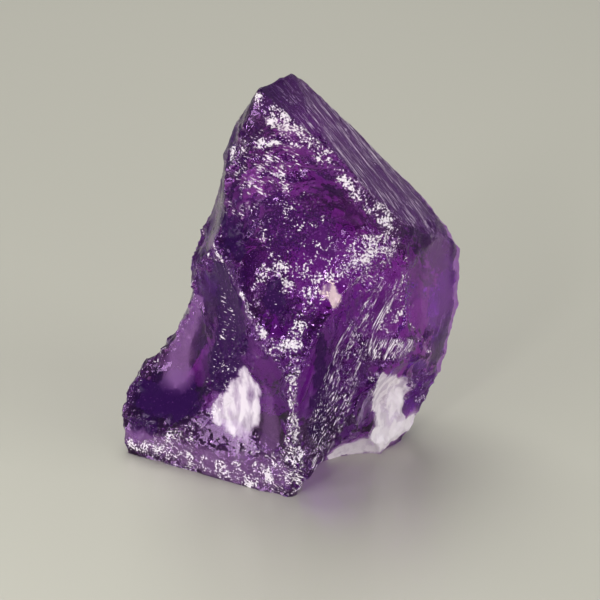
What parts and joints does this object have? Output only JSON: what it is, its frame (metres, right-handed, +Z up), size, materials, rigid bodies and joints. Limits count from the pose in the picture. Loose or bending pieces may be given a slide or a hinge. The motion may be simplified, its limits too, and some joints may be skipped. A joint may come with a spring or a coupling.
{
  "type": "rough amethyst",
  "caption": "Single rough piece of purple quartz: a peaked, broken chunk with shell-like scars, chipped ridges and a flat fracture to rest on, for display or cutting.",
  "frame": {"origin": "middle of the bounding box's footprint, at the height of the flat fracture the stone rests on", "axes": "+Z up, towards the stone's peak; -Y towards the front, where the dark main face and the central ridge are; +X to the right of that front"},
  "size_m": [0.0342, 0.0242, 0.0406],
  "materials": {
    "amethyst": "deep violet clear quartz, glossy fresh fractures with frosted chipped ridges"
  },
  "bodies": {
    "root": {"amethyst": "amethyst"}
  },
  "joints": []
}
